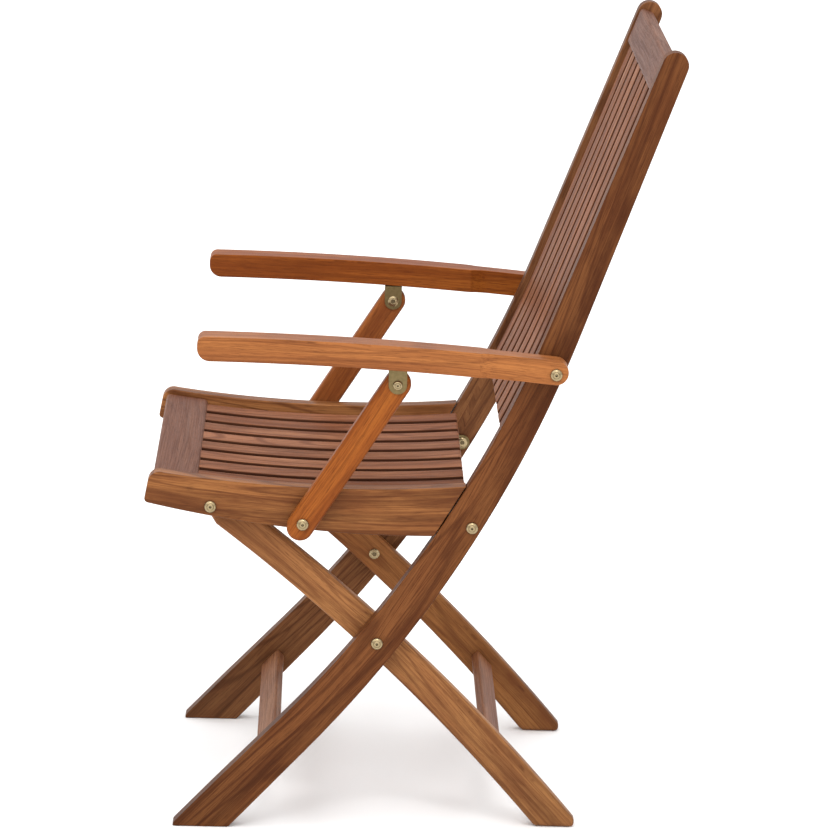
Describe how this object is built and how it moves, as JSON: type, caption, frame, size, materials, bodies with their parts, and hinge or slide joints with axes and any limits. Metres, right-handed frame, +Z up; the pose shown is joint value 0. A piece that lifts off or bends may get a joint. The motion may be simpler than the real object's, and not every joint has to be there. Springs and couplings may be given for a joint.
{
  "type": "folding garden armchair",
  "caption": "Folding hardwood armchair for the garden, with a slatted seat and high slatted back on crossed legs, and arms that fold with the seat.",
  "frame": {"origin": "on the floor, under the middle of the chair's footprint", "axes": "+Z up, the sitter faces -Y, +X is the sitter's left; the pivots all lie along X"},
  "size_m": [0.585, 0.6219, 0.942],
  "materials": {
    "back_rail": "oiled, satin",
    "arm": "oiled, satin",
    "leg": "oiled, satin",
    "seat_rail": "oiled, satin",
    "slat": "oiled, satin sheen",
    "board": "oiled, satin sheen",
    "stretcher": "oiled, satin",
    "bracket": "yellow plated, dull",
    "fastener": "yellow plated, polished"
  },
  "bodies": {
    "back_frame": {"back_rail_left": "back_rail", "back_rail_right": "back_rail", "back_top_board": "board", "back_lower_rail": "back_rail", "back_slat_1": "slat", "back_slat_2": "slat", "back_slat_3": "slat", "back_slat_4": "slat", "back_slat_5": "slat", "back_slat_6": "slat", "back_slat_7": "slat", "back_slat_8": "slat", "front_stretcher": "stretcher", "cross_bolt_left": "fastener", "cross_bolt_right": "fastener", "cross_washer_left": "fastener", "cross_washer_right": "fastener", "stay_bolt_left": "fastener", "stay_bolt_right": "fastener", "arm_bolt_left": "fastener", "arm_bolt_right": "fastener", "arm_spacer_left": "fastener", "arm_spacer_right": "fastener"},
    "leg_frame": {"leg_left": "leg", "leg_right": "leg", "rear_stretcher": "stretcher", "leg_pin_left": "fastener", "leg_pin_right": "fastener"},
    "stay_link_left": {"stay_link_left": "bracket"},
    "stay_link_right": {"stay_link_right": "bracket"},
    "seat": {"seat_rail_left": "seat_rail", "seat_rail_right": "seat_rail", "seat_front_board": "board", "seat_slat_1": "slat", "seat_slat_2": "slat", "seat_slat_3": "slat", "seat_slat_4": "slat", "seat_slat_5": "slat", "seat_slat_6": "slat", "seat_slat_7": "slat", "seat_slat_8": "slat", "seat_batten_front": "board", "seat_batten_rear": "board", "seat_bolt_left": "fastener", "seat_bolt_right": "fastener", "seat_washer_left": "fastener", "seat_washer_right": "fastener", "knee_pin_left": "fastener", "knee_pin_right": "fastener"},
    "arm_left": {"arm_left": "arm", "arm_bracket_left": "bracket", "bracket_rivet_left": "fastener"},
    "arm_right": {"arm_right": "arm", "arm_bracket_right": "bracket", "bracket_rivet_right": "fastener"},
    "arm_support_left": {"arm_support_left": "arm", "support_bolt_left": "fastener"},
    "arm_support_right": {"arm_support_right": "arm", "support_bolt_right": "fastener"}
  },
  "joints": [
    {"name": "fold", "type": "hinge", "parent": "back_frame", "child": "stay_link_left", "pos_m": [0, 0.0765, 0.373], "axis": [-1, 0, 0], "range_deg": [0, 96]},
    {"name": "stay_right", "type": "hinge", "parent": "back_frame", "child": "stay_link_right", "pos_m": [0, 0.0765, 0.373], "axis": [-1, 0, 0], "range_deg": [0, 96.01]},
    {"name": "leg_cross", "type": "hinge", "parent": "back_frame", "child": "leg_frame", "pos_m": [0, -0.032, 0.23], "axis": [-1, 0, 0], "range_deg": [0, 70.01]},
    {"name": "seat_knee", "type": "hinge", "parent": "stay_link_left", "child": "seat", "pos_m": [0, -0.123, 0.3785], "axis": [1, 0, 0], "range_deg": [0, 165.61]},
    {"name": "arm_elbow_left", "type": "hinge", "parent": "back_frame", "child": "arm_left", "pos_m": [0, 0.168, 0.567], "axis": [-1, 0, 0], "range_deg": [0, 106.61]},
    {"name": "support_left", "type": "hinge", "parent": "arm_left", "child": "arm_support_left", "pos_m": [0, -0.0158, 0.548], "axis": [1, 0, 0], "range_deg": [0, 108.21]},
    {"name": "arm_elbow_right", "type": "hinge", "parent": "back_frame", "child": "arm_right", "pos_m": [0, 0.168, 0.567], "axis": [-1, 0, 0], "range_deg": [0, 106.61]},
    {"name": "support_right", "type": "hinge", "parent": "arm_right", "child": "arm_support_right", "pos_m": [0, -0.0158, 0.548], "axis": [1, 0, 0], "range_deg": [0, 108.21]}
  ],
  "couplings": [
    {"joint": "stay_right", "follows": "fold", "ratio": 1},
    {"joint": "leg_cross", "follows": "fold", "ratio": 0.72917},
    {"joint": "seat_knee", "follows": "fold", "ratio": 1.725},
    {"joint": "arm_elbow_left", "follows": "fold", "ratio": 1.1104},
    {"joint": "support_left", "follows": "fold", "ratio": 1.1271},
    {"joint": "arm_elbow_right", "follows": "fold", "ratio": 1.1104},
    {"joint": "support_right", "follows": "fold", "ratio": 1.1271}
  ]
}
